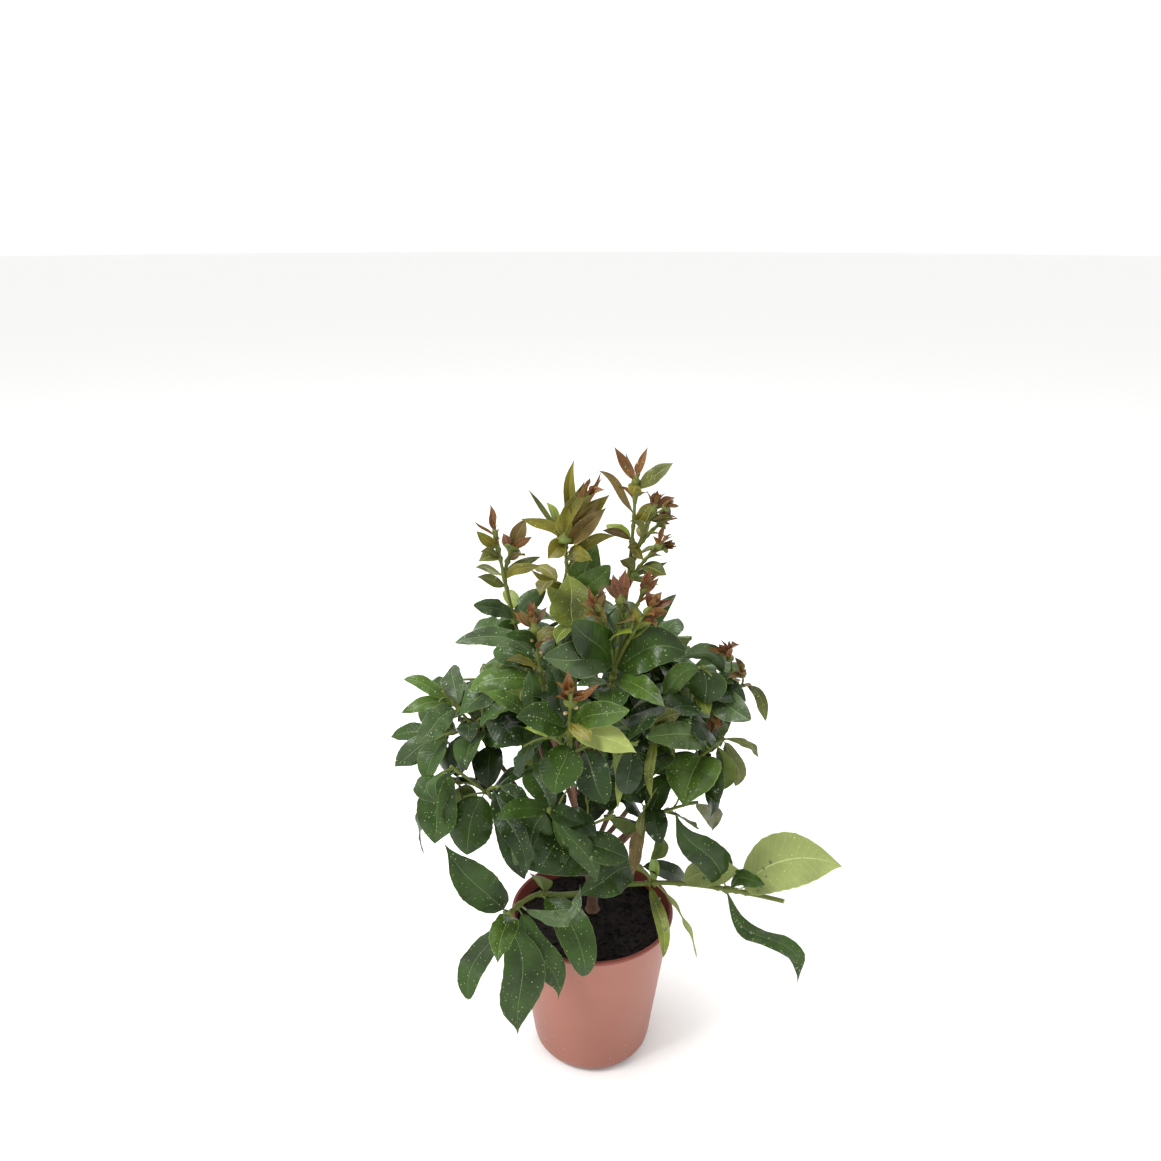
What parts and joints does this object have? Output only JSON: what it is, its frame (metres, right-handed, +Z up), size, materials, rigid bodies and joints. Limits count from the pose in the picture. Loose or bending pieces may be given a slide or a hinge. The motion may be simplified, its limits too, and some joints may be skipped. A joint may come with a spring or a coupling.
{
  "type": "potted lemon tree",
  "caption": "Young leafy citrus tree with bronze young shoots, in a round terracotta-coloured plastic nursery pot of compost.",
  "frame": {"origin": "middle of the pot's flat underside", "axes": "+Z up along the pot's axis, +X to the right and -Y towards the front"},
  "size_m": [0.367, 0.283, 0.542],
  "materials": {
    "pot": "satin terracotta-coloured moulded plastic",
    "soil": "moist near-black peat compost, rough and crumbly",
    "bark": "reddish-brown young bark, turning green towards the shoots",
    "leaf": "leathery leaves with a waxy sheen, mid to dark green, the youngest olive and bronze"
  },
  "bodies": {
    "root": {"pot": "pot", "soil": "soil", "trunk": "bark", "leader": "bark", "bough_top_right": "bark", "bough_top_left": "bark", "bough_bronze": "bark", "bough_upper_left": "bark", "bough_left": "bark", "bough_left_low": "bark", "bough_front": "bark", "bough_front_low": "bark", "bough_right": "bark", "bough_right_mid": "bark", "bough_right_low": "bark", "bough_back_left": "bark", "bough_back_right": "bark", "bough_back_low": "bark", "shoot_low_right": "bark", "shoot_low_left": "bark", "foliage_top_right": "leaf", "foliage_top_centre": "leaf", "foliage_top_left": "leaf", "foliage_bronze": "leaf", "foliage_upper_left": "leaf", "foliage_front": "leaf", "foliage_front_low": "leaf", "foliage_left": "leaf", "foliage_left_low": "leaf", "foliage_right": "leaf", "foliage_right_mid": "leaf", "foliage_right_low": "leaf", "foliage_back_left": "leaf", "foliage_back_right": "leaf", "foliage_back_low": "leaf", "foliage_low_right": "leaf", "foliage_low_left": "leaf"}
  },
  "joints": []
}
